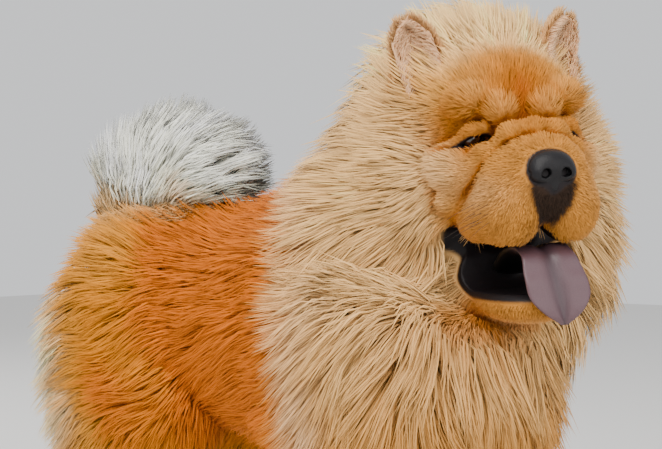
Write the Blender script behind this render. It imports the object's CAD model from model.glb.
# A chow chow standing with its head turned, mouth open and tail over its back:
# one skin under a coat of solid tufts
import math

import bpy
import numpy as np
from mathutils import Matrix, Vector, kdtree


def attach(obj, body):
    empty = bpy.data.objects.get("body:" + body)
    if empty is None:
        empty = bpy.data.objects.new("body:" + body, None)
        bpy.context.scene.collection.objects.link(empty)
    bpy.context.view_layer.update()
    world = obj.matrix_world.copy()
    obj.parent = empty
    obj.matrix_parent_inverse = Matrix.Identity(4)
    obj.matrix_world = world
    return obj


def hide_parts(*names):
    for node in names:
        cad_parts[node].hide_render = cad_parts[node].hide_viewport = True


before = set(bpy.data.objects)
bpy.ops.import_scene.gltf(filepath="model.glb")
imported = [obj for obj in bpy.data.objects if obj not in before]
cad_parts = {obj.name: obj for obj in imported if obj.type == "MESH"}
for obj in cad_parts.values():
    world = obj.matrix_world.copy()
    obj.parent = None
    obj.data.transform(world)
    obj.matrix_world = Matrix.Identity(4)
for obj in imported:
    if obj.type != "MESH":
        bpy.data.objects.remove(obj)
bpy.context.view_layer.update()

# The forms below are in the model's own millimetres, and moved so that the animal stands over the origin
SHIFT = np.array([-10.0, -11.0, 0.0])


def metres(p):
    return (np.asarray(p, float) + SHIFT) / 1000


# Driving dimensions, as the solids have them
WITHERS = 500
HIP_X = -180
SHOULDER_X = 130
TRUNK_Z = 372
LEG_SPREAD = 74
BODY_COAT = 44
RUFF_COAT = 92
BREECH_COAT = 62
SKIN_SHARE = 0.1
GAP = 0.3
FLOOR_CLEARANCE = 0.6

# The head's own frame: its origin lies between the eyes, +X out of the face, +Z up
HEAD_AT = np.array([300.0, -38.0, 572.0])
HEAD_TURN, HEAD_LIFT, HEAD_ROLL = (math.radians(a) for a in (-37, -2, 4))
EYE_AT = (-3, 46, 0)
EYE_RADIUS = 12
NOSE_AT = np.array([77.0, 0.0, -33.0])


def turned(axis, angle):
    c, s = math.cos(angle), math.sin(angle)
    made = np.eye(3)
    u, v = [(1, 2), (2, 0), (0, 1)][axis]
    made[u, u] = made[v, v] = c
    made[u, v], made[v, u] = -s, s
    return made


HEAD_AXES = turned(2, HEAD_TURN) @ turned(1, -HEAD_LIFT) @ turned(0, HEAD_ROLL)


def in_head(p):
    return (p - HEAD_AT) @ HEAD_AXES


def out_of_head(q):
    return np.asarray(q, float) @ HEAD_AXES.T + HEAD_AT


def mix(a, b, t):
    return a + (b - a) * t


def smooth(x, low, high):
    t = np.clip((x - low) / (high - low), 0, 1)
    return t * t * (3 - 2 * t)


def unit(v):
    return v / np.maximum(np.linalg.norm(v, axis=-1, keepdims=True), 1e-9)


# Flesh: each piece gives its distance from many points, once let out by a share of its coat
def ball(at, size, coat, blend, pitch=0):
    c, s = math.cos(math.radians(pitch)), math.sin(math.radians(pitch))

    def distance(p, share):
        dx, dy, dz = (p[:, n] - at[n] for n in range(3))
        rx, ry, rz = (size[n] + coat * share for n in range(3))
        a, b, e = (c * dx + s * dz) / rx, dy / ry, (c * dz - s * dx) / rz
        near = np.sqrt(a * a + b * b + e * e)
        slope = np.sqrt((a / rx) ** 2 + (b / ry) ** 2 + (e / rz) ** 2)
        return near * (near - 1) / np.maximum(slope, 1e-6)

    return blend, distance


def limb(start, end, r0, r1, coat, blend):
    start = np.array(start, float)
    along = np.array(end, float) - start

    def distance(p, share):
        d = p - start
        t = np.clip(d @ along / (along @ along), 0, 1)
        away = np.linalg.norm(d - t[:, None] * along, axis=1)
        return away - mix(r0, r1, t) - coat * share

    return blend, distance


def chain(points, radii, coat, blend):
    pairs = zip(points, points[1:], radii, radii[1:])
    return [limb(a, b, r0, r1, coat, blend) for a, b, r0, r1 in pairs]


def both(make):
    return make(1) + make(-1)


def at_side(points, side):
    return [(x, y * side, z) for x, y, z in points]


def blended(d, e, room):
    h = np.maximum(room - np.abs(d - e), 0) / room
    return np.minimum(d, e) - h * h * room * 0.25


def join(pieces, p, share=0):
    d = np.full(len(p), 1e4)
    for blend, distance in pieces:
        d = blended(d, distance(p, share), blend)
    return d


def trunk_side(s):
    return [
        ball((SHOULDER_X + 8, 78 * s, TRUNK_Z - 24), (70, 46, 118), 52, 40),
        ball((HIP_X - 4, 72 * s, 318), (84, 52, 128), BODY_COAT, 40),
        ball((-228, 48 * s, 345), (50, 46, 104), BREECH_COAT, 40),
    ]


def leg(s):
    y = LEG_SPREAD * s
    return [
        limb((108, y + 4 * s, 280), (116, y, 90), 42, 29, 20, 30),
        limb((116, y, 95), (124, y, 45), 29, 29, 12, 20),
        limb((-140, y + 6 * s, 280), (-238, y + 2 * s, 160), 52, 27, 34, 30),
        limb((-240, y + 2 * s, 160), (-232, y, 48), 25, 25, 14, 25),
    ]


FEET_X = (136, -218)
TOES = ((-26, 16), (-9.5, 27), (9.5, 27), (26, 16))  # across, and how far ahead


def foot(s, x):
    pads = [ball((x + ahead, LEG_SPREAD * s + across, 15), (19, 11, 17), 5, 5) for across, ahead in TOES]
    return [ball((x, LEG_SPREAD * s, 27), (34, 33, 26), 7, 12)] + pads


BODY = (
    [
        ball((80, 0, TRUNK_Z - 8), (160, 110, 126), BODY_COAT, 40),
        ball((-70, 0, TRUNK_Z + 4), (170, 98, 100), BODY_COAT, 40),
        ball((HIP_X, 0, TRUNK_Z + 22), (92, 96, 96), BODY_COAT, 40),
        ball((90, 0, WITHERS - 62), (110, 70, 62), BODY_COAT, 40),
        ball((190, 0, TRUNK_Z - 20), (68, 84, 100), 62, 40),
    ]
    + both(trunk_side)
    + chain([(138, 0, 418), (178, 14, 462), (216, 30, 496)], (94, 92, 94), RUFF_COAT, 50)
    + both(leg)
    + both(lambda s: foot(s, FEET_X[0]) + foot(s, FEET_X[1]))
)
TAIL = chain([(-246, 0, 440), (-252, 0, 486), (-236, 0, 522)], (26, 24, 20), 34, 30) + chain(
    [(-230, 0, 524), (-195, 0, 540), (-150, 0, 540)], (18, 15, 10), 84, 40
)
SKULL = [
    ball((-76, 0, 18), (78, 76, 68), 12, 25),
    ball((-100, 0, 34), (70, 74, 62), 20, 25),
    ball((-34, 0, 34), (42, 60, 38), 10, 25),
] + both(lambda s: [ball((-84, 62 * s, -48), (54, 40, 62), 30, 30)])
MUZZLE = [
    ball((30, 0, -40), (50, 50, 42), 3, 16),
    ball((-10, 0, -28), (46, 58, 38), 6, 18),
]
JAW = [
    ball((-4, 0, -156), (58, 44, 20), 8, 14, -4),
    ball((-56, 0, -140), (48, 52, 44), 18, 20),
]
FLEWS = both(
    lambda s: [
        ball((36, 29 * s, -66), (38, 28, 36), 2, 10),
        ball((2, 42 * s, -72), (40, 18, 27), 3, 12),
    ]
)
ROLL_OUTER = [(40, 0, 4), (36, 22, 1), (26, 42, -13), (10, 56, -34), (-12, 62, -58), (-34, 62, -76)]
ROLL_INNER = [(57, 0, -9), (53, 18, -13), (42, 35, -27), (30, 44, -42)]
ROLLS = both(
    lambda s: chain(at_side(ROLL_OUTER, s), (9, 9, 9, 10, 10, 7), 3, 7)
    + chain(at_side(ROLL_INNER, s), (6, 6, 6, 4), 2, 7)
    + [
        ball((-12, 62 * s, -26), (26, 17, 22), 10, 10),
        ball((10, 23 * s, 22), (15, 14, 15), 7, 8),
        ball((-2, 46 * s, 34), (18, 18, 13), 9, 10),
    ]
)
HOLLOWS = both(
    lambda s: [
        ball((17, 47 * s, 1), (20, 22, 9), 0, 8),
        limb((10, 62 * s, -2), (-8, 76 * s, -12), 5, 3, 0, 6),
    ]
) + [limb((24, 0, 18), (12, 0, 52), 4, 3, 0, 8)]
UPPER_LID = [(7, 28, 2), (11, 38, 8), (11, 50, 7), (-3, 66, -7)]
LOWER_LID = [(7, 28, -3), (10, 39, -8), (9, 51, -10), (-3, 66, -12)]
SLIT = [(9, 29, -2), (13, 38, -1), (12, 51, -3), (-2, 67, -11)]
LIDS = both(
    lambda s: chain(at_side(UPPER_LID, s), (3.4, 5.8, 5.8, 3.4), 0, 2)
    + chain(at_side(LOWER_LID, s), (2.4, 3, 3, 2.4), 0, 2)
)
# Creases that only the skin shows: between the rolls, under the eyes, and the split below the nose
ROLL_CREASE = [(52, 6, 0), (44, 28, -8), (30, 46, -26), (12, 58, -50)]
BROW_CREASE = [(14, 34, 14), (12, 44, 19), (4, 58, 16)]
EYE_CREASE = [(16, 40, -14), (8, 54, -16), (-4, 66, -16)]
CREASES = both(
    lambda s: chain(at_side(ROLL_CREASE, s), (2, 2, 2, 1.5), 0, 4)
    + chain(at_side(BROW_CREASE, s), (2, 2.4, 1.5), 0, 4)
    + chain(at_side(EYE_CREASE, s), (1.8, 2, 1.4), 0, 4)
) + [limb((80, 0, -52), (70, 0, -84), 2.2, 3, 0, 3)]

MOUTH_BACK, MOUTH_TOP, MOUTH_FLOOR = -40, -90, -148
MOUTH_ROUND = 24
MOUTH_REACH = 160
MOUTH_HALF_WIDTH = 62
CORNER = (-37, -99, 14)


def mouth(q):
    """Distance from the open mouth: a rounded slot through the head, and a roll under the flews at its top"""
    dx = np.abs(q[:, 0] - (MOUTH_BACK + MOUTH_REACH)) - (MOUTH_REACH - MOUTH_ROUND)
    dz = np.abs(q[:, 2] - (MOUTH_TOP + MOUTH_FLOOR) / 2) - ((MOUTH_TOP - MOUTH_FLOOR) / 2 - MOUTH_ROUND)
    outer = np.hypot(np.maximum(dx, 0), np.maximum(dz, 0))
    slot = outer + np.minimum(np.maximum(dx, dz), 0) - MOUTH_ROUND
    corner_x, corner_z, corner_round = CORNER
    roll = np.hypot(np.maximum(corner_x - q[:, 0], 0), q[:, 2] - corner_z) - corner_round
    return blended(slot, roll, 8)


def eyeball(q, room):
    away = [np.linalg.norm(q - np.array([EYE_AT[0], EYE_AT[1] * s, EYE_AT[2]]), axis=1) for s in (1, -1)]
    return np.minimum(*away) - EYE_RADIUS - room


def cut(d, hollow, room):
    h = np.maximum(room - np.abs(d + hollow), 0) / room
    return np.maximum(d, -hollow) + h * h * room * 0.25


def head(q, share):
    d = join(SKULL + MUZZLE + JAW, q, share)
    d = np.maximum(d, -mouth(q))
    d = blended(d, join(FLEWS, q, share), 10)
    d = blended(d, join(ROLLS, q, share), 8)
    d = cut(d, join(HOLLOWS, q), 6)
    d = cut(d, join(CREASES, q), 4)
    d = blended(d, join(LIDS, q), 4)
    return np.maximum(d, -eyeball(q, GAP))


NECK_BLEND = 46
RUFF_FRONT, RUFF_SWEEP, RUFF_TOP, RUFF_FALL = 2, 0.42, -168, 0.3
CORE_BACK = 40
TAIL_BLEND = 30
CLEAR_ROUND = 30


def flesh(p, share=SKIN_SHARE):
    q = in_head(p)
    d = join(BODY, p, share)
    back = CORE_BACK * (1 - share)
    ahead = q[:, 0] - RUFF_FRONT + back + RUFF_SWEEP * np.hypot(q[:, 1], np.maximum(q[:, 2] + 40, 0))
    under = q[:, 2] - RUFF_TOP + back * 0.3 + RUFF_FALL * q[:, 0]
    gape = np.maximum(mouth(q), np.abs(q[:, 1]) - MOUTH_HALF_WIDTH)
    clear = np.maximum(np.minimum(ahead, under), -gape)
    rounded = np.maximum(CLEAR_ROUND - np.abs(d - clear), 0) / CLEAR_ROUND
    d = np.maximum(d, clear) + rounded * rounded * CLEAR_ROUND * 0.25
    d = blended(d, head(q, share), NECK_BLEND * (1 - smooth(q[:, 0], -90, -30)) + 4)
    return blended(d, join(TAIL, p, share), TAIL_BLEND)


CHUNK = 150000


def sampled(field, p):
    return np.concatenate([field(p[n : n + CHUNK]) for n in range(0, len(p), CHUNK)])


CORNERS = np.array([(1, -1, -1), (-1, 1, -1), (-1, -1, 1), (1, 1, 1)], float)


def slope(field, p, step=0.6):
    return unit(sum(corner * sampled(field, p + corner * step)[:, None] for corner in CORNERS))


# A net of one vertex for each grid cell that the surface passes through, worked out only near the surface
def spread(fine, count):
    """How a row of values at every count-th line is carried to every line"""
    kept = np.unique(np.append(np.arange(0, len(fine), count), len(fine) - 1))
    weights = np.array([np.interp(fine, fine[kept], row) for row in np.eye(len(kept))]).T
    return kept, weights


def net(field, axes, every=4):
    kept, weights = zip(*(spread(a, every) for a in axes))
    coarse = np.stack(np.meshgrid(*(a[k] for a, k in zip(axes, kept)), indexing="ij"), -1)
    rough = sampled(field, coarse.reshape(-1, 3)).reshape(coarse.shape[:3])
    values = np.einsum("abc,ia,jb,kc->ijk", rough, *weights, optimize=True)
    steps = [np.interp(a, a[k][:-1], np.diff(a[k])) for a, k in zip(axes, kept)]
    reach = np.maximum(np.maximum(steps[0][:, None, None], steps[1][None, :, None]), steps[2][None, None, :])
    near = np.argwhere(np.abs(values) < 1.5 * reach + 3)
    places = np.stack([a[near[:, n]] for n, a in enumerate(axes)], 1)
    values[tuple(near.T)] = sampled(field, places)
    for n in range(3):
        edge = np.moveaxis(values, n, 0)
        edge[0] = np.maximum(edge[0], 1)
        edge[-1] = np.maximum(edge[-1], 1)
    inside = values < 0
    ends = [slice(None, -1), slice(1, None)]
    count = sum(inside[a, b, c].astype(int) for a in ends for b in ends for c in ends)
    cells = np.argwhere((count > 0) & (count < 8))
    total = np.zeros((len(cells), 3))
    crossings = np.zeros(len(cells))
    for a in range(8):
        for axis in range(3):
            if a >> axis & 1:
                continue
            here = cells + [a & 1, a >> 1 & 1, a >> 2 & 1]
            there = here + np.eye(3, dtype=int)[axis]
            va, vb = values[tuple(here.T)], values[tuple(there.T)]
            crossed = (va < 0) != (vb < 0)
            t = np.where(crossed, va / np.where(crossed, va - vb, 1), 0)
            pa = np.stack([axes[n][here[:, n]] for n in range(3)], 1)
            pb = np.stack([axes[n][there[:, n]] for n in range(3)], 1)
            total += np.where(crossed[:, None], mix(pa, pb, t[:, None]), 0)
            crossings += crossed
    points = total / crossings[:, None]
    room = 0.4 * np.min([np.diff(axes[n])[cells[:, n]] for n in range(3)], axis=0)
    move = -slope(field, points) * sampled(field, points)[:, None]
    far = np.maximum(np.linalg.norm(move, axis=1) / room, 1)
    points += move / far[:, None]
    index = np.full(count.shape, -1)
    index[tuple(cells.T)] = np.arange(len(cells))
    quads = []
    for axis, (u, v) in enumerate([(1, 2), (2, 0), (0, 1)]):
        low = np.moveaxis(inside, axis, 0)[:-1]
        edges = np.argwhere(low != np.moveaxis(inside, axis, 0)[1:])
        turned_in = low[tuple(edges.T)]
        places = np.insert(edges[:, 1:], axis, edges[:, 0], axis=1)
        one_u, one_v = np.eye(3, dtype=int)[u], np.eye(3, dtype=int)[v]
        ring = [places - one_u - one_v, places - one_v, places, places - one_u]
        quad = np.stack([index[tuple(r.T)] for r in ring], 1)
        quads.append(np.where(turned_in[:, None], quad, quad[:, ::-1]))
    return points, np.concatenate(quads)


def lines(first, *stretches):
    made = [float(first)]
    for step, end in zip(stretches[::2], stretches[1::2]):
        count = max(1, round((end - made[-1]) / step))
        made += list(np.linspace(made[-1], end, count + 1)[1:])
    return np.array(made)


def new_piece(name, points, faces, material, colors):
    """A mesh piece from points in the model's millimetres and faces of one count of corners"""
    mesh = bpy.data.meshes.new(name)
    faces = np.asarray(faces)
    mesh.vertices.add(len(points))
    mesh.vertices.foreach_set("co", metres(points).astype(np.float32).ravel())
    mesh.loops.add(faces.size)
    mesh.loops.foreach_set("vertex_index", faces.astype(np.int32).ravel())
    mesh.polygons.add(len(faces))
    mesh.polygons.foreach_set("loop_start", np.arange(0, faces.size, faces.shape[1], dtype=np.int32))
    mesh.polygons.foreach_set("use_smooth", np.full(len(faces), True))
    mesh.update(calc_edges=True)
    layer = mesh.color_attributes.new("coat_color", "FLOAT_COLOR", "POINT")
    full = np.concatenate([np.asarray(colors), np.ones((len(points), 1))], 1)
    layer.data.foreach_set("color", full.astype(np.float32).ravel())
    mesh.materials.append(material)
    piece = bpy.data.objects.new(name, mesh)
    bpy.context.scene.collection.objects.link(piece)
    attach(piece, "root")
    return piece


def add_bake_map(piece, uv):
    layer = piece.data.uv_layers.new(name="OFBake")
    layer.data.foreach_set("uv", np.clip(uv, 0, 1).astype(np.float32).ravel())


# Colours, linear from the usual eight-bit ones
def tint(code):
    value = np.array([int(code[n : n + 2], 16) for n in (0, 2, 4)]) / 255
    return np.where(value <= 0.04045, value / 12.92, ((value + 0.055) / 1.055) ** 2.4)


ORANGE, GOLD, CREAM = tint("bd6c2d"), tint("c68a4a"), tint("f4dcb4")
RUFF, PALE, CHEST = tint("deb684"), tint("f6e2c4"), tint("b37a42")
WHITE, TAIL_ROOT_COLOR = tint("fff8e8"), tint("d8bc94")
CROWN, FOREHEAD, BROW = tint("f0c792"), tint("a2581f"), tint("cc9660")
MUZZLE_COLOR, CHEEK, EAR_COLOR = tint("b27d49"), tint("e0b88c"), tint("d19a5c")
LEATHER, MOUTH_COLOR, EAR_SKIN = tint("121113"), tint("151012"), tint("dda57c")


def ripples(p, length, seed, count=7):
    """Smooth noise between about -1 and 1, the sum of a few waves of about one length"""
    rng = np.random.default_rng(seed)
    ways = unit(rng.normal(size=(count, 3))) * rng.uniform(0.7, 1.4, (count, 1)) * 2 * math.pi / length
    phases = rng.uniform(0, 2 * math.pi, count)
    return np.sin(p @ ways.T + phases).sum(1) / math.sqrt(count)


def spot(q, at, size):
    return np.exp(-(((q - np.array(at)) / np.array(size)) ** 2).sum(1))


def spots(q, at, size):
    return sum(spot(q, (at[0], at[1] * s, at[2]), size) for s in (1, -1))


def face_share(q):
    """1 where the short fur of the face lies, 0 in the long coat behind it"""
    crown = smooth(q[:, 2], 15, 60)
    ahead = smooth(q[:, 0], mix(-50, -44, crown), mix(-14, -8, crown))
    return ahead * (1 - smooth(np.abs(q[:, 1]), 64, 84)) * smooth(q[:, 2], -196, -176)


def ruff_share(p, q):
    return smooth(p[:, 0] + 0.12 * p[:, 2], 125, 235) * smooth(p[:, 2], 225, 290) * (1 - face_share(q))


def cheek_share(q):
    """The long soft fur at the sides and top of the head, between the face and the ruff"""
    return smooth(q[:, 0], -110, -80) * smooth(q[:, 2], -120, -60) * (1 - face_share(q))


def tail_share(p):
    return smooth(p[:, 2], 455, 505) * smooth(-p[:, 0], 100, 130)


def breech_share(p):
    return smooth(-p[:, 0], 185, 235) * smooth(p[:, 2], 150, 200) * (1 - smooth(p[:, 2], 400, 450))


CREASE_STEP = 6
RICHNESS = 1.22


def creased(p):
    """1 in the creases of the face, 0 where it is flat or round"""
    rise = sampled(flesh, p + slope(flesh, p, 1.5) * CREASE_STEP)
    return smooth(CREASE_STEP - rise, 0.6, 3)


def markings(p):
    q = in_head(p)
    x, y, z = p.T
    c = np.tile(ORANGE, (len(p), 1))

    def lay(color, weight):
        c[:] = mix(c, color, np.clip(weight, 0, 1)[:, None])

    patchy = ripples(p, 90, 3)
    lay(GOLD, smooth(-x + 25 * patchy, 95, 200))
    lay(GOLD, 1 - smooth(z, 190, 300))
    lay(CREAM, 0.7 * (1 - smooth(z + 12 * patchy, 20, 110)))
    lay(CREAM, smooth(-x + 15 * patchy, 205, 262) * (1 - smooth(z, 380, 440)))
    ruff = ruff_share(p, q)
    lay(RUFF, ruff)
    lay(CHEST, 0.8 * ruff * smooth(-q[:, 2], 150, 260))
    lay(PALE, 0.75 * ruff * (1 - smooth(x + 12 * patchy, 100, 180)))
    tail = tail_share(p)
    lay(TAIL_ROOT_COLOR, tail)
    lay(WHITE, tail * smooth(z + 10 * patchy, 495, 530))
    lay(RUFF, smooth(q[:, 0], -130, -90) * smooth(q[:, 2], -190, -160) * smooth(z, 380, 430))
    face = face_share(q)
    lay(CROWN, smooth(q[:, 2], 34, 62) * smooth(q[:, 0], -130, -100) * smooth(z, 500, 540))
    lay(MUZZLE_COLOR, face)
    lay(FOREHEAD, 0.9 * spot(q, (0, 0, 34), (60, 26, 30)))
    lay(FOREHEAD, 0.55 * spots(q, (-12, 62, 14), (40, 20, 22)))
    lay(EAR_COLOR, 0.8 * spots(q, (-34, 62, 46), (26, 24, 22)))
    lay(BROW, 0.9 * spots(q, (12, 22, 25), (18, 10, 10)))
    lay(BROW, 0.9 * spots(q, (0, 46, 38), (18, 12, 9)))
    lay(CHEEK, 0.95 * spots(q, (-14, 66, -30), (26, 20, 18)))
    lay(CHEEK, 0.6 * spots(q, (30, 40, -52), (30, 22, 16)))
    lay(FOREHEAD, 0.5 * spots(q, (14, 40, -12), (12, 18, 7)))
    lay(CHEEK, 0.5 * face * (1 - smooth(q[:, 2], -190, -165)))
    lay(FOREHEAD * 0.8, 0.75 * creased(p) * smooth(q[:, 0], -60, -20))
    lay(LEATHER, 0.96 * muzzle_dark(q))
    c = c.mean(1, keepdims=True) + (c - c.mean(1, keepdims=True)) * RICHNESS
    return np.clip(c, 0.002, 0.9) * (1 + 0.07 * ripples(p, 26, 5))[:, None]


NOSE_PAD = [ball((72, 0, -30), (14, 22, 15), 0, 5), ball((70, 0, -45), (10, 12, 10), 0, 5)] + both(
    lambda s: [ball((75, 13 * s, -36), (10, 9.5, 9), 0, 5)]
)
NOSTRILS = both(
    lambda s: [
        ball((85, 9.5 * s, -36), (9, 4.5, 4.5), 0, 2, -10),
        limb((84, 11 * s, -37), (73, 24 * s, -35), 2.6, 1.6, 0, 2),
    ]
)


# The bare black skin: the lips and inside of the mouth, and the rims of the lids
def lip_share(q, normal):
    beside = (np.sign(q[:, 1]) * normal[:, 1] > 0.1) & (np.abs(q[:, 1]) > 30)
    outer = (beside & (q[:, 0] > -30)) | ((normal[:, 0] > 0.25) & (q[:, 0] > 40))
    flew = outer & (normal[:, 2] > -0.9) & (q[:, 2] > -116)
    low = smooth(-q[:, 2], 125, 140)
    edge = 1 - smooth(mouth(q), mix(3, 5, low), mix(7, 9, low))
    across = 1 - smooth(np.abs(q[:, 1]), 60, 68)
    ahead = smooth(q[:, 0], -62, -54)
    return np.where(flew, 0, edge * across * ahead)


def rim_share(q):
    slit = join(both(lambda s: chain(at_side(SLIT, s), (2, 4, 4, 2), 0, 1)), q)
    return 1 - smooth(np.minimum(slit, eyeball(q, 0)), 1, 3)


def nose_share(q):
    """The bare black skin close round the nose and along the split below it"""
    split = limb((84, 0, -50), (72, 0, -88), 3, 2, 0, 1)
    return 1 - smooth(np.minimum(join(NOSE_PAD, q), join([split], q)), 1, 3)


def muzzle_dark(q):
    """The dark short fur below the nose, as wide as the nose at its top and narrow at the lip"""
    width = np.interp(-q[:, 2], [20, 34, 62, 92], [16, 25, 19, 5])
    across = 1 - smooth(np.abs(q[:, 1]), width - 4, width + 3)
    return across * smooth(-q[:, 2], 24, 34) * smooth(q[:, 0], 48, 58)


def bare_share(q, normal):
    return np.maximum(np.maximum(lip_share(q, normal), rim_share(q)), nose_share(q))


# Materials
def new_material(name, roughness, bump_scale, bump_depth, sheen=0.0, specular=0.35, coat=0.0, mottle=0.1):
    material = bpy.data.materials.new(name)
    material.use_nodes = True
    nodes, links = material.node_tree.nodes, material.node_tree.links
    shader = nodes["Principled BSDF"]
    shader.inputs["Roughness"].default_value = roughness
    shader.inputs["Specular IOR Level"].default_value = specular
    shader.inputs["Sheen Weight"].default_value = sheen
    shader.inputs["Sheen Roughness"].default_value = 0.4
    shader.inputs["Coat Weight"].default_value = coat
    shader.inputs["Coat Roughness"].default_value = 0.08
    color = nodes.new("ShaderNodeAttribute")
    color.attribute_name = "coat_color"
    place = nodes.new("ShaderNodeTexCoord")
    noise = nodes.new("ShaderNodeTexNoise")
    noise.inputs["Scale"].default_value = bump_scale
    noise.inputs["Detail"].default_value = 3
    links.new(place.outputs["Object"], noise.inputs["Vector"])
    shade = nodes.new("ShaderNodeMapRange")
    shade.inputs["To Min"].default_value = 1 - mottle
    shade.inputs["To Max"].default_value = 1 + mottle
    links.new(noise.outputs["Fac"], shade.inputs["Value"])
    tinted = nodes.new("ShaderNodeVectorMath")
    tinted.operation = "SCALE"
    links.new(color.outputs["Color"], tinted.inputs[0])
    links.new(shade.outputs["Result"], tinted.inputs["Scale"])
    links.new(tinted.outputs["Vector"], shader.inputs["Base Color"])
    bump = nodes.new("ShaderNodeBump")
    bump.inputs["Strength"].default_value = 0.6
    bump.inputs["Distance"].default_value = bump_depth
    links.new(noise.outputs["Fac"], bump.inputs["Height"])
    links.new(bump.outputs["Normal"], shader.inputs["Normal"])
    return material


fur = new_material("fur", 0.7, 900, 0.0004, sheen=0.05, specular=0.15, mottle=0.12)
short_fur = new_material("short_fur", 0.75, 1400, 0.0006, sheen=0.05, specular=0.15, mottle=0.2)
lip_skin = new_material("lip_skin", 0.5, 500, 0.0003, specular=0.2, mottle=0.25)
nose_skin = new_material("nose_skin", 0.42, 700, 0.0005, specular=0.22, mottle=0.2)
tongue_skin = new_material("tongue_skin", 0.38, 900, 0.0003, specular=0.5, mottle=0.15)
eye_gloss = new_material("eye_gloss", 0.12, 300, 0.00001, specular=0.5, coat=0.8, mottle=0.1)
horn = new_material("horn", 0.4, 400, 0.0001, specular=0.4, mottle=0.2)

# The skin
FINE = 2.1
skin_axes = (
    lines(-330, 7, -262, 3.5, -168, 8, 100, 3.5, 196, 7, 232, FINE, 396),
    lines(-190, 8, -152, FINE, 68, 3.4, 114, 8, 190),
    lines(-26, 6, -6, 2.8, 66, 8, 352, FINE, 652, 8, 676),
)
skin_points, skin_quads = net(flesh, skin_axes)
skin_normals = slope(flesh, skin_points)
skin_points[:, 2] = np.maximum(skin_points[:, 2], FLOOR_CLEARANCE)
skin_q = in_head(skin_points)
skin_facing = skin_normals @ HEAD_AXES
skin_bare = bare_share(skin_q, skin_facing)
OUTSIDE_LIGHTER = 1.2
bare_light = np.where(lip_share(skin_q, skin_facing) > 0.5, 1.0, OUTSIDE_LIGHTER)
skin_colors = mix(markings(skin_points), bare_light[:, None] * MOUTH_COLOR, skin_bare[:, None])
print("skin", len(skin_points), "points")

# The unwrap: charts by region of the skin and by the way it faces, each laid flat in a place of its own
TRUNK, HEAD, MOUTH, TAIL_REGION, FRONT_LEFT, FRONT_RIGHT, HIND_LEFT, HIND_RIGHT = range(8)
REGIONS = HIND_RIGHT + 1
WAYS = 6


def region_of(p):
    q = in_head(p)
    region = np.full(len(p), TRUNK)
    region[(q[:, 0] > -100) & (p[:, 2] > 380)] = HEAD
    region[(np.abs(mouth(q)) < 3) & (np.abs(q[:, 1]) < MOUTH_HALF_WIDTH) & (q[:, 0] > MOUTH_BACK - 8)] = MOUTH
    region[tail_share(p) > 0.5] = TAIL_REGION
    low = p[:, 2] < 250
    left = p[:, 1] > 0
    region[low & left & (p[:, 0] > 0)] = FRONT_LEFT
    region[low & ~left & (p[:, 0] > 0)] = FRONT_RIGHT
    region[low & left & (p[:, 0] < 0)] = HIND_LEFT
    region[low & ~left & (p[:, 0] < 0)] = HIND_RIGHT
    return region


def faced(normal):
    axis = np.abs(normal).argmax(1)
    return axis * 2 + (normal[np.arange(len(normal)), axis] > 0)


def flat(p, chart):
    """A point's place on its chart, before the charts are laid out"""
    first = np.array([1, 1, 0, 0, 0, 0])[chart % WAYS]
    second = np.array([2, 2, 2, 2, 1, 1])[chart % WAYS]
    rows = np.arange(len(p))
    return np.stack([p[rows, first], p[rows, second]], 1)


quad_centres = skin_points[skin_quads].mean(1)
quad_normals = unit(skin_normals[skin_quads].sum(1))
quad_chart = region_of(quad_centres) * WAYS + faced(quad_normals)
CHARTS = REGIONS * WAYS
corner_flat = flat(skin_points[skin_quads].reshape(-1, 3), np.repeat(quad_chart, 4))
corner_chart = np.repeat(quad_chart, 4)
chart_low, chart_high = np.zeros((CHARTS, 2)), np.zeros((CHARTS, 2))
for c in np.unique(corner_chart):
    chart_low[c] = corner_flat[corner_chart == c].min(0)
    chart_high[c] = corner_flat[corner_chart == c].max(0)
CHART_MARGIN = 8
chart_size = chart_high - chart_low + CHART_MARGIN


def shelved(sizes, width):
    """Places for rectangles in rows of one width, the tallest first, and the height they fill"""
    at = np.zeros((len(sizes), 2))
    x = y = row = 0
    for n in np.argsort(-sizes[:, 1]):
        if x and x + sizes[n, 0] > width:
            x, y, row = 0, y + row, 0
        at[n] = x, y
        x += sizes[n, 0]
        row = max(row, sizes[n, 1])
    return at, y + row


map_side = math.sqrt(chart_size.prod(1).sum())
while shelved(chart_size, map_side)[1] > map_side:
    map_side *= 1.02
chart_at, _ = shelved(chart_size, map_side)


def on_map(p, chart):
    return (flat(p, chart) - chart_low[chart] + chart_at[chart] + CHART_MARGIN / 2) / map_side


skin = new_piece("skin", skin_points, skin_quads, short_fur, skin_colors)
add_bake_map(skin, on_map(skin_points[skin_quads].reshape(-1, 3), corner_chart))
skin.data.materials.append(lip_skin)
skin.data.polygons.foreach_set("material_index", (skin_bare[skin_quads].mean(1) > 0.5).astype(np.int32))
LEG_NODES = ("front_leg", "front_foot", "thigh", "hock", "hind_foot")
FLESH_NODES = ["head", "lower_jaw", "neck", "torso", "tail"]
FLESH_NODES += [f"{part}_{s}" for part in LEG_NODES for s in ("left", "right")]
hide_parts(*FLESH_NODES)

# The coat: thin tufts, each a closed blade of three sides that leaves the skin, leans over and lies along it
NOSE_WORLD = out_of_head(NOSE_AT)
TAIL_ROOT = np.array([-262.0, 0.0, 470.0])
LENGTH, WIDTH, RISE, LAY, CLUMP, DENSITY = range(6)
rng = np.random.default_rng(4)


def away_from_nose(p, down):
    return unit(p - NOSE_WORLD) - np.array([0, 0, down])


def way(*v):
    return lambda p: np.tile(np.array(v, float), (len(p), 1))


def from_tail_root(p):
    return unit(p - TAIL_ROOT) + np.array([0.2, 0, -0.1])


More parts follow.
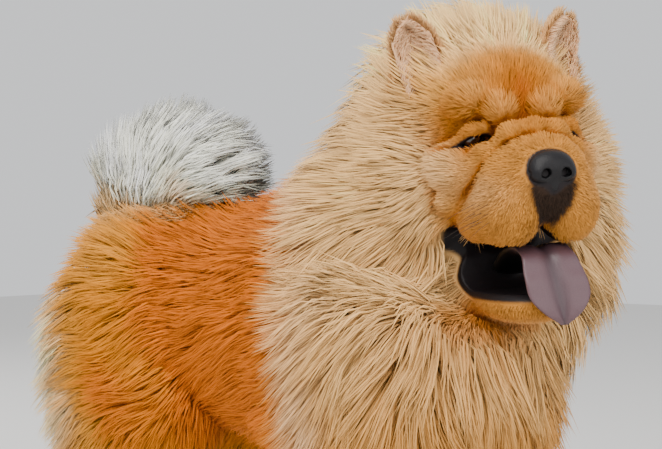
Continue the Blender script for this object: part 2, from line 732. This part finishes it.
# Each zone: how far it holds, its hair and its lie. The hair is its length, width, rise, lay, clump and tufts
# a square centimetre.
ZONES = [
    (lambda p, q: np.ones(len(p)), (54, 2.5, 36, 78, 0.3, 9), way(-1, 0, -0.55)),
    (lambda p, q: smooth(p[:, 2], 420, 460), (64, 2.5, 24, 72, 0.3, 9), way(-1, 0, -0.1)),
    (lambda p, q: 1 - smooth(p[:, 2], 250, 300), (44, 2.4, 38, 78, 0.3, 8), way(-0.5, 0, -0.9)),
    (
        lambda p, q: (1 - smooth(p[:, 2], 180, 250)) * smooth(p[:, 0], 0, 30),
        (26, 2, 40, 80, 0.3, 10),
        way(-0.3, 0, -1),
    ),
    (
        lambda p, q: (1 - smooth(p[:, 2], 150, 200)) * (1 - smooth(p[:, 0], -30, 0)),
        (24, 2, 40, 80, 0.2, 10),
        way(-0.3, 0, -1),
    ),
    (lambda p, q: 1 - smooth(p[:, 2], 60, 95), (11, 1.6, 40, 80, 0.1, 16), way(0.9, 0, -0.6)),
    (lambda p, q: breech_share(p), (78, 2.8, 32, 70, 0.4, 10), way(-0.5, 0, -1)),
    (ruff_share, (104, 2.4, 28, 72, 0.45, 16), lambda p: away_from_nose(p, 0.75)),
    (lambda p, q: tail_share(p), (58, 2.6, 30, 66, 0.4, 20), from_tail_root),
    (
        lambda p, q: tail_share(p) * smooth(p[:, 2], 490, 525),
        (92, 2.8, 20, 58, 0.45, 34),
        from_tail_root,
    ),
    (lambda p, q: cheek_share(q), (60, 2.1, 22, 62, 0.35, 20), lambda p: away_from_nose(p, 0.15)),
    (
        lambda p, q: smooth(q[:, 0], -60, -30) * smooth(q[:, 2], -196, -176) * smooth(p[:, 2], 380, 420),
        (24, 1.7, 32, 70, 0.2, 30),
        lambda p: away_from_nose(p, 0.2),
    ),
    (
        lambda p, q: face_share(q) * (1 - smooth(q[:, 2], 14, 40)),
        (6.5, 1.1, 40, 80, 0, 62),
        lambda p: away_from_nose(p, 0.05),
    ),
    (
        lambda p, q: face_share(q) * smooth(q[:, 2], 14, 40),
        (16, 1.4, 34, 70, 0.1, 44),
        lambda p: away_from_nose(p, 0),
    ),
]


def hair_at(p):
    q = in_head(p)
    values = np.zeros((len(p), 6))
    lie = np.zeros((len(p), 3))
    for weight, zone, zone_lie in ZONES:
        w = np.clip(weight(p, q), 0, 1)[:, None]
        values = mix(values, np.array(zone, float), w)
        lie = mix(lie, unit(zone_lie(p)), w)
    return values, unit(lie)


def blades(paths, sides, tops, width, ridge):
    """Closed blades along paths of rows of points: rings of three corners, and one at the tip"""
    count, rows = paths.shape[:2]
    profile = np.interp(np.arange(rows - 1) / (rows - 1), [0, 0.35, 0.7, 1], [0.75, 1, 0.7, 0])
    half_width = (width[:, None] * profile * 0.5)[..., None]
    height = (width[:, None] * profile * ridge)[..., None]
    body, across, top = paths[:, :-1], sides[:, :-1], tops[:, :-1]
    rings = np.stack([body - across * half_width, body + across * half_width, body + top * height], 2)
    points = np.concatenate([rings.reshape(count, -1, 3), paths[:, -1:]], 1)
    faces = [(0, 2, 1)]
    for r in range(rows - 2):
        for i in range(3):
            a, b = r * 3 + i, r * 3 + (i + 1) % 3
            faces += [(a, b, b + 3), (a, b + 3, a + 3)]
    last = (rows - 2) * 3
    faces += [(last + i, last + (i + 1) % 3, last + 3) for i in range(3)]
    faces = np.array(faces)[None] + (np.arange(count) * points.shape[1])[:, None, None]
    bulge = np.stack([-across, across, top], 2).reshape(count, -1, 3)
    bulge = np.concatenate([bulge, tops[:, -1:]], 1)
    return points, faces.reshape(-1, 3)[:, ::-1], bulge


MOST_TRIANGLES = 190000
ROUND_SHARE = 0.4  # how much of a tuft's own roundness shows in its shading, against the form it lies on
PATCH = 0.0015  # the half width of a tuft's place on the bake map


def lay_tufts(name, roots, normals, chart, hair, lie, colors, rows, slot, field=flesh, sink=2.5, spacing=17):
    """Pieces of tufts from their roots, drawn together into locks and laid along the coat"""
    count = len(roots)
    length = hair[:, LENGTH] * rng.uniform(0.72, 1.08, count)
    width = hair[:, WIDTH] * rng.uniform(0.75, 1.2, count)
    rise = np.radians(hair[:, RISE] + rng.normal(0, 7, count))
    lay = np.radians(hair[:, LAY] + rng.normal(0, 6, count))
    bend = rng.normal(0, 0.22, count) + 0.35 * ripples(roots, 55, 11)
    roll = rng.normal(0, 0.6, count)
    sway = 0.25 * ripples(roots, 70, 13)
    at = roots - normals * sink
    out = normals
    soft = []
    paths, sides, tops = [], [], []
    for n in range(rows):
        t = n / (rows - 1)
        if n and field is not None and rows > 3:
            out = unit(mix(out, slope(field, at, 4), 0.7))
        flat_lie = unit(lie - out * (lie * out).sum(1, keepdims=True))
        cross = np.cross(out, flat_lie)
        angle = (sway + bend * t)[:, None]
        along = flat_lie * np.cos(angle) + cross * np.sin(angle)
        lean = mix(rise, lay, math.sqrt(t))[:, None]
        heading = out * np.cos(lean) + along * np.sin(lean)
        across = unit(np.cross(heading, out))
        top = np.cross(across, heading)
        tilt = roll[:, None]
        paths.append(at)
        soft.append(out)
        sides.append(across * np.cos(tilt) + top * np.sin(tilt))
        tops.append(top * np.cos(tilt) - across * np.sin(tilt))
        at = at + heading * (length / (rows - 1))[:, None]
    paths, sides, tops, soft = (np.stack(v, 1) for v in (paths, sides, tops, soft))
    if hair[:, CLUMP].max() > 0.05:
        cell = np.floor(roots / spacing + rng.uniform(0, 1, 3)).astype(int)
        _, leaders = np.unique(cell, axis=0, return_index=True)
        tree = kdtree.KDTree(len(leaders))
        for n, leader in enumerate(leaders):
            tree.insert(Vector(roots[leader] + rng.normal(0, 2, 3)), n)
        tree.balance()
        own = leaders[[tree.find(Vector(r))[1] for r in roots]]
        t = np.linspace(0, 1, rows)[None, :, None]
        pull = hair[:, CLUMP][:, None, None] * t * rng.uniform(0.6, 1.15, count)[:, None, None]
        paths = mix(paths, paths[own], np.clip(pull, 0, 0.92))
        shade = rng.normal(1, 0.06, count)[own]
    else:
        shade = np.ones(count)
    paths[..., 2] = np.maximum(paths[..., 2], FLOOR_CLEARANCE * 2)
    points, faces, bulge = blades(paths, sides, tops, width, 0.3)
    every = np.concatenate([np.repeat(soft[:, :-1], 3, axis=1), soft[:, -1:]], 1)
    shading = unit(mix(every, bulge, ROUND_SHARE))
    points[..., 2] = np.maximum(points[..., 2], FLOOR_CLEARANCE)
    each = points.shape[1]
    shade = shade * rng.normal(1, 0.07, count)
    share = np.append(np.repeat(np.arange(rows - 1), 3), rows - 1) / (rows - 1)
    light = mix(0.86, 1.1, np.sqrt(share))
    full = np.clip(colors[:, None] * shade[:, None, None] * light[None, :, None], 0, 0.95)
    corner = np.stack([np.cos(np.arange(each) * 2.4), np.sin(np.arange(each) * 2.4)], 1)
    uv = on_map(roots, chart)[:, None] + corner[None] * PATCH * share[None, :, None]
    per_tuft = len(faces) // count
    batch = MOST_TRIANGLES // per_tuft
    for n, start in enumerate(range(0, count, batch)):
        end = min(count, start + batch)
        own_faces = faces[start * per_tuft : end * per_tuft] - start * each
        own_points, own_colors = points[start:end].reshape(-1, 3), full[start:end].reshape(-1, 3)
        piece = new_piece(f"{name}_{n + 1}", own_points, own_faces, fur, own_colors)
        add_bake_map(piece, uv[start:end].reshape(-1, 2)[own_faces.ravel()])
        if field is not None:
            piece.data.normals_split_custom_set_from_vertices(shading[start:end].reshape(-1, 3).tolist())
    print(name, count, "tufts", len(faces), "triangles")


triangles = np.concatenate([skin_quads[:, [0, 1, 2]], skin_quads[:, [0, 2, 3]]])
triangle_chart = np.tile(quad_chart, 2)
corners = skin_points[triangles]
area = np.linalg.norm(np.cross(corners[:, 1] - corners[:, 0], corners[:, 2] - corners[:, 0]), axis=1) / 200
centres = corners.mean(1)
centre_hair, _ = hair_at(centres)
centre_normals = unit(skin_normals[triangles].sum(1))
centre_q = in_head(centres)
bald = (bare_share(centre_q, centre_normals @ HEAD_AXES) > 0.15) | (join(NOSE_PAD, centre_q) < 2)
bald |= (centres[:, 2] < 4) | (eyeball(centre_q, 0) < 4)
cover = 0.9
wanted = area * centre_hair[:, DENSITY] * ~bald * cover
picked = np.repeat(np.arange(len(triangles)), rng.poisson(wanted))
share = np.sort(rng.uniform(0, 1, (len(picked), 2)), axis=1)
share = np.stack([share[:, 0], share[:, 1] - share[:, 0], 1 - share[:, 1]], 1)[..., None]
roots = (skin_points[triangles[picked]] * share).sum(1)
root_normals = unit((skin_normals[triangles[picked]] * share).sum(1))
root_chart = triangle_chart[picked]
root_hair, root_lie = hair_at(roots)
root_colors = markings(roots)
root_q = in_head(roots)
SHORT = 20
short = root_hair[:, LENGTH] < SHORT
on_face = (root_q[:, 0] > -90) & (roots[:, 2] > 300)
groups = [
    ("coat_face", short & on_face, 3, "coat_face", 6),
    ("coat_feet", short & ~on_face, 3, "coat_gold", 8),
    ("coat_tail", ~short & (tail_share(roots) > 0.5), 4, "coat_cream", 15),
    ("coat_head", ~short & (cheek_share(root_q) > 0.4), 3, "coat_face", 14),
    ("coat_ruff", ~short & (ruff_share(roots, root_q) > 0.5), 4, "coat_gold", 20),
    ("coat_body", ~short, 3, "coat_orange", 16),
]
used = np.zeros(len(roots), bool)
laid_from = (roots, root_normals, root_chart, root_hair, root_lie, root_colors)
for name, chosen, rows, slot, spacing in groups:
    chosen = chosen & ~used
    used |= chosen
    depth = np.minimum(3, root_hair[chosen, LENGTH] * 0.12)[:, None]
    lay_tufts(name, *(v[chosen] for v in laid_from), rows, slot, spacing=spacing, sink=depth)


# Ears: cupped, thick in the middle and round at the tip, thinly furred inside and well furred behind
EAR_BASE, EAR_TIP = np.array([-64.0, 62, 44]), np.array([-62.0, 86, 122])
EAR_HALF_WIDTH, EAR_THICKNESS, EAR_CUP = 25, 9, 15
EAR_FACES = np.array([0.92, 0.36, -0.1])


def ear_point(s, t, u, front):
    mirror = np.array([1, s, 1])
    base, up, facing = EAR_BASE * mirror, (EAR_TIP - EAR_BASE) * mirror, unit(EAR_FACES * mirror)
    across = unit(np.cross(up, facing))
    width = EAR_HALF_WIDTH * np.minimum(1, 1.9 * np.sqrt(np.maximum(1 - t, 0))) * mix(1, 0.72, t)
    thick = EAR_THICKNESS * mix(1, 0.55, t) * np.sqrt(np.maximum(1 - u * u, 0)) * 0.5
    cup = EAR_CUP * mix(1, 0.5, t) * (u * u - 0.5)
    forward = cup + np.where(front, thick * 0.5, -thick * 1.5)
    q = base + up * t[:, None] + across * (width * u)[:, None] + facing * forward[:, None]
    return out_of_head(q)


EAR_ROWS, EAR_COLUMNS = 26, 20


def ear_piece(name, s):
    across = np.linspace(-0.99, 0.99, EAR_COLUMNS)
    u = np.concatenate([across, across[::-1]])
    front = np.repeat([False, True], EAR_COLUMNS)
    rows = 1 - (1 - np.linspace(0, 1, EAR_ROWS)) ** 1.6
    rows = mix(-0.12, 0.985, rows)
    t = np.repeat(rows, len(u))
    points = ear_point(s, t, np.tile(u, EAR_ROWS), np.tile(front, EAR_ROWS))
    count = len(u)
    faces = [
        (r * count + i, r * count + (i + 1) % count, (r + 1) * count + (i + 1) % count, (r + 1) * count + i)
        for r in range(EAR_ROWS - 1)
        for i in range(count)
    ]
    for start in (0, (EAR_ROWS - 1) * count):
        for i in range(EAR_COLUMNS - 1):
            faces.append((start + i, start + i + 1, start + count - 2 - i, start + count - 1 - i))
    faces = np.array(faces)
    if s < 0:
        faces = faces[:, ::-1]
    inner = np.tile(front, EAR_ROWS) * (1 - np.abs(np.tile(u, EAR_ROWS)) ** 3)
    colors = mix(EAR_COLOR, EAR_SKIN, inner[:, None])
    glow = np.clip(1 - t * 2.2, 0, 1) * inner
    colors = mix(colors, tint("b5672f"), glow[:, None])
    piece = new_piece(name, points, faces, short_fur, colors)
    place = np.stack([mix(0.9, 0.98, t), 0.94 + 0.04 * np.tile(u, EAR_ROWS) * s], 1)
    add_bake_map(piece, place[faces.ravel()])
    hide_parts(name.replace("_skin", ""))


def ear_tufts(name, s, count):
    t = rng.uniform(0.0, 0.97, count)
    u = np.sin(rng.uniform(-math.pi / 2, math.pi / 2, count)) * 0.98
    front = (rng.uniform(0, 1, count) < 0.45) & (np.abs(u) > 0.2)
    at = ear_point(s, t, u, front)
    step = 0.02
    ahead = ear_point(s, t + step, u, front) - at
    beside = ear_point(s, t, np.clip(u + step, -1, 1), front) - at
    middle = ear_point(s, t, np.zeros(count), np.ones(count, bool))
    normals = unit(np.cross(ahead, beside))
    facing = unit(out_of_head(EAR_FACES * np.array([1, s, 1])) - out_of_head(np.zeros(3)))
    out = np.where(front, 1, -1)
    normals *= (np.sign((normals * facing).sum(1)) * out)[:, None]
    edge = unit(at - middle)
    normals = unit(normals + edge * (np.abs(u) ** 6)[:, None])
    lie = unit(ahead) + edge * 0.25
    lie = np.where(front[:, None], unit(ahead) - edge * 0.5, lie)
    hair = np.zeros((count, 6))
    hair[:, LENGTH] = 13 + 16 * np.clip(1 - t * 2, 0, 1)
    hair[:, WIDTH] = 1.4
    hair[:, RISE], hair[:, LAY] = 34, 74
    color = mix(tint("dcae76"), tint("c98748"), np.clip(1 - t, 0, 1)[:, None])
    color = np.where(front[:, None], tint("e8b98c"), color)
    chart = np.full(count, HEAD * WAYS + faced(np.array([[0, 0, 1.0]]))[0])
    lay_tufts(name, at, normals, chart, hair, lie, color, 3, "coat_face", field=None, sink=1)


for side_name, s in (("left", 1), ("right", -1)):
    ear_piece(f"ear_{side_name}_skin", s)
    ear_tufts(f"coat_ear_{side_name}", s, 5200)


# Eyes: dark brown round a black pupil, under a clear wet front
def eye_piece(name, s):
    rings, sides = 32, 40
    angle = np.repeat(np.linspace(0, math.pi, rings + 1)[1:-1], sides)
    turn = np.tile(np.arange(sides) * 2 * math.pi / sides, rings - 1)
    bulge = EYE_RADIUS + 0.7 * np.exp(-((angle / 0.5) ** 2))
    local = np.stack([np.cos(angle), np.sin(angle) * np.cos(turn), np.sin(angle) * np.sin(turn)], 1)
    local = local * bulge[:, None]
    local = np.concatenate([[[EYE_RADIUS + 0.7, 0, 0]], local, [[-EYE_RADIUS, 0, 0]]])
    angle = np.concatenate([[0], angle, [math.pi]])
    gaze = turned(2, math.radians(14 * s))
    q = local @ gaze.T + np.array([EYE_AT[0], EYE_AT[1] * s, EYE_AT[2]])
    faces = []
    last = (rings - 1) * sides
    for i in range(sides):
        j = (i + 1) % sides
        faces.append((0, 1 + i, 1 + j))
        faces.append((last + 1, last + 1 - sides + j, last + 1 - sides + i))
        for r in range(rings - 2):
            a, b = 1 + r * sides + i, 1 + r * sides + j
            faces += [(a, a + sides, b + sides), (a, b + sides, b)]
    iris = mix(tint("2c170c"), tint("4a2813"), smooth(angle, 0.3, 0.5)[:, None])
    color = np.where(angle[:, None] < 0.26, tint("050505"), iris)
    color = mix(color, tint("1a0f0b"), smooth(angle, 0.6, 0.72)[:, None])
    eye = new_piece(name, out_of_head(q), np.array(faces), eye_gloss, color)
    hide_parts(name.replace("_ball", ""))


eye_piece("eye_left_ball", 1)
eye_piece("eye_right_ball", -1)


# Nose leather with its nostrils
def nose_field(q):
    pad = np.maximum(join(NOSE_PAD, q), -join(NOSTRILS, q))
    return cut(pad, join([limb((90, 0, -28), (84, 0, -62), 1.2, 1.4, 0, 3)], q), 2.5)


nose_points, nose_quads = net(nose_field, (lines(54, 1.3, 92), lines(-28, 1.3, 28), lines(-62, 1.3, -8)))
depth = smooth(join(NOSTRILS, nose_points), -1, 1.5)[:, None]
nose_color = mix(LEATHER * 0.3, LEATHER * 1.3, depth)
nose = new_piece("nose_leather", out_of_head(nose_points), nose_quads, nose_skin, nose_color)
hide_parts("nose")


def curved(points, steps):
    """Points along a smooth path through the given ones"""
    points = np.array(points, float)
    ends = np.concatenate([[2 * points[0] - points[1]], points, [2 * points[-1] - points[-2]]])
    made = []
    for at in np.linspace(0, len(points) - 1, steps):
        n = min(int(at), len(points) - 2)
        t = at - n
        a, b, c, d = ends[n : n + 4]
        square, cube = 2 * a - 5 * b + 4 * c - d, 3 * b - a - 3 * c + d
        made.append(0.5 * (2 * b + (c - a) * t + square * t**2 + cube * t**3))
    return np.array(made)


# Tongue: a grooved blade that lies on the lower jaw and hangs over its lip
TONGUE = [(-24, 0, -130), (6, 0, -114), (32, 0, -107), (50, 1, -112)]
TONGUE += [(60, 3, -130), (65, 6, -152), (66, 9, -176)]
TONGUE_HALF_WIDTH = (22, 26, 26, 26, 30, 29, 7)
TONGUE_THICKNESS = 10
TONGUE_STEPS, TONGUE_SIDES = 60, 36
path = curved(TONGUE, TONGUE_STEPS)
t = np.linspace(0, 1, TONGUE_STEPS)
half_width = curved([(w, 0, 0) for w in TONGUE_HALF_WIDTH], TONGUE_STEPS)[:, 0]
half_width *= np.sqrt(1 - smooth(t, 0.9, 1.03) ** 2)
heading = unit(np.gradient(path, axis=0))
upward = np.stack([-heading[:, 2], heading[:, 1] * 0, heading[:, 0]], 1)
turn = np.arange(TONGUE_SIDES) * 2 * math.pi / TONGUE_SIDES
u, above = np.cos(turn), np.sin(turn)
groove = 3.5 * np.exp(-((u / 0.22) ** 2)) * (above > 0)
curl = 3 * u**4
lift = TONGUE_THICKNESS * 0.5 * np.sign(above) * np.abs(above) ** 0.8 - groove + curl
ripple = 0.5 * np.sin(t * 37)[:, None] * (above > 0) * np.abs(u)
tongue_q = (
    path[:, None]
    + np.array([0, 1, 0]) * (half_width[:, None] * u)[..., None]
    + upward[:, None] * ((lift + ripple) * smooth(half_width, 0, 14)[:, None])[..., None]
)
rows = np.arange(TONGUE_STEPS - 1)[:, None] * TONGUE_SIDES
ring = np.arange(TONGUE_SIDES)[None]
after = (ring + 1) % TONGUE_SIDES
next_row = rows + TONGUE_SIDES
tongue_faces = np.stack([rows + ring, next_row + ring, next_row + after, rows + after], -1)
caps = []
for start, flipped in ((0, False), ((TONGUE_STEPS - 1) * TONGUE_SIDES, True)):
    for i in range(1, TONGUE_SIDES // 2):
        across_from = (TONGUE_SIDES - i) % TONGUE_SIDES
        cap = (start + i - 1, start + i, start + TONGUE_SIDES - 1 - i, start + across_from)
        caps.append(cap[::-1] if flipped else cap)
tongue_faces = np.concatenate([tongue_faces.reshape(-1, 4), caps])
shade = (0.7 * np.exp(-((u / 0.25) ** 2)) + 0.25 * (above < 0))[None, :, None]
tongue_color = mix(tint("573e44"), tint("35272d"), np.clip(shade, 0, 1)) * smooth(t, 0.2, 0.62)[:, None, None]
tongue_points = out_of_head(tongue_q.reshape(-1, 3))
tongue_color = tongue_color.reshape(-1, 3)
tongue = new_piece("tongue_blade", tongue_points, tongue_faces, tongue_skin, tongue_color)
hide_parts("tongue")


def cones(bases, ways, drops, lengths, radii, rows, sides, blunt):
    """Closed tapered horns or hairs that bend down towards their tips"""
    points, faces = [], []
    for base, heading, drop, length, radius in zip(bases, ways, drops, lengths, radii):
        across = unit(np.cross(heading, (0.0, 0.0, 1.0)))
        top = np.cross(across, heading)
        start = sum(len(p) for p in points)
        ring = []
        for n in range(rows):
            t = n / (rows - 1)
            centre = base + heading * length * t - np.array([0, 0, drop]) * t * t
            r = radius * mix(1, blunt, t**0.8)
            turn = np.arange(sides) * 2 * math.pi / sides
            sideways, upright = np.cos(turn) * r, np.sin(turn) * r * 1.2
            ring.append(centre + across * sideways[:, None] + top * upright[:, None])
        tip = base + heading * length * 1.02 - np.array([0, 0, drop])
        points.append(np.concatenate(ring + [[tip], [base]]))
        last = start + rows * sides
        for i in range(sides):
            j = (i + 1) % sides
            for n in range(rows - 1):
                a, b = start + n * sides + i, start + n * sides + j
                faces += [(a, b, b + sides), (a, b + sides, a + sides)]
            faces.append((last - sides + i, last - sides + j, last))
            faces.append((start + j, start + i, last + 1))
    return np.concatenate(points), np.array(faces)


# Claws
CLAW_LENGTH, CLAW_RADIUS, CLAW_DROP, CLAW_HEIGHT, CLAW_AHEAD = 16, 3.6, 5, 16, 9
claw_bases = [
    (x + ahead + CLAW_AHEAD, LEG_SPREAD * s + across, CLAW_HEIGHT)
    for x in FEET_X
    for s in (1, -1)
    for across, ahead in TOES
]
claw_sizes = ([value] * len(claw_bases) for value in (CLAW_DROP, CLAW_LENGTH, CLAW_RADIUS))
claw_ways = np.tile([0.98, 0.0, -0.2], (len(claw_bases), 1))
claw_points, claw_faces = cones(np.array(claw_bases, float), claw_ways, *claw_sizes, 7, 12, 0.2)
claw_colors = np.tile(tint("2b211b"), (len(claw_points), 1))
new_piece("claws", claw_points, claw_faces, horn, claw_colors)

# Whiskers on the flews
whisker_bases, whisker_ways = [], []
for s in (1, -1):
    for n in range(9):
        q = np.array([52 - 7 * (n % 3), (45 + 3 * (n % 3)) * s, -58 - 8 * (n // 3)], float)
        whisker_bases.append(out_of_head(q))
        whisker_ways.append(unit(np.array([0.25 - 0.3 * (n % 3), 0.9 * s, -0.25]) @ HEAD_AXES.T))
WHISKER_RADIUS = 0.35
count = len(whisker_bases)
drops = rng.uniform(3, 9, count)
lengths = rng.uniform(26, 44, count)
radii = [WHISKER_RADIUS] * count
whisker_points, whisker_faces = cones(whisker_bases, whisker_ways, drops, lengths, radii, 6, 5, 0.15)
whisker_colors = np.tile(tint("3a2c22"), (len(whisker_points), 1))
new_piece("whiskers", whisker_points, whisker_faces, horn, whisker_colors)

# Floor, camera and lights
floor_mesh = bpy.data.meshes.new("floor")
FLOOR_REACH = 6
floor_corners = [(x * FLOOR_REACH, y * FLOOR_REACH, 0) for x, y in ((-1, -1), (1, -1), (1, 1), (-1, 1))]
floor_mesh.from_pydata(floor_corners, [], [(0, 1, 2, 3)])
floor = bpy.data.objects.new("floor", floor_mesh)
bpy.context.scene.collection.objects.link(floor)
pale = bpy.data.materials.new("pale_floor")
pale.use_nodes = True
floor_shader = pale.node_tree.nodes["Principled BSDF"]
floor_shader.inputs["Base Color"].default_value = (0.72, 0.71, 0.69, 1)
floor_shader.inputs["Roughness"].default_value = 0.9
floor_mesh.materials.append(pale)

CAMERA_AZIMUTH = math.radians(38)
CAMERA_DISTANCE = 1.4
CAMERA_HEIGHT = 0.487
LENS = 67
AIM_ACROSS = 0.02
right = Vector((math.cos(CAMERA_AZIMUTH), math.sin(CAMERA_AZIMUTH), 0))
away = Vector((math.sin(CAMERA_AZIMUTH), -math.cos(CAMERA_AZIMUTH), 0))
camera_data = bpy.data.cameras.new("camera")
camera_data.lens = LENS
camera = bpy.data.objects.new("camera", camera_data)
camera.location = away * CAMERA_DISTANCE + right * AIM_ACROSS + Vector((0, 0, CAMERA_HEIGHT))
camera.rotation_euler = (math.pi / 2, 0, CAMERA_AZIMUTH)
bpy.context.scene.collection.objects.link(camera)
bpy.context.scene.camera = camera


def area_light(name, azimuth, height, distance, size, power, color):
    data = bpy.data.lights.new(name, "AREA")
    data.size = size
    data.energy = power
    data.color = color
    lamp = bpy.data.objects.new(name, data)
    angle = math.radians(azimuth)
    lamp.location = (math.sin(angle) * distance, -math.cos(angle) * distance, height)
    aim = Vector((0, 0, 0.4)) - lamp.location
    lamp.rotation_euler = aim.to_track_quat("-Z", "Y").to_euler()
    bpy.context.scene.collection.objects.link(lamp)


area_light("key", 20, 2.6, 1.9, 2.2, 100, (1, 0.97, 0.93))
area_light("fill", 75, 0.9, 2.6, 2.4, 30, (1, 0.98, 0.96))
area_light("back", 260, 2.4, 2.4, 2.0, 40, (1, 0.98, 0.96))
world = bpy.data.worlds.new("studio")
world.use_nodes = True
world.node_tree.nodes["Background"].inputs["Color"].default_value = (0.93, 0.94, 0.96, 1)
world.node_tree.nodes["Background"].inputs["Strength"].default_value = 0.95
bpy.context.scene.world = world
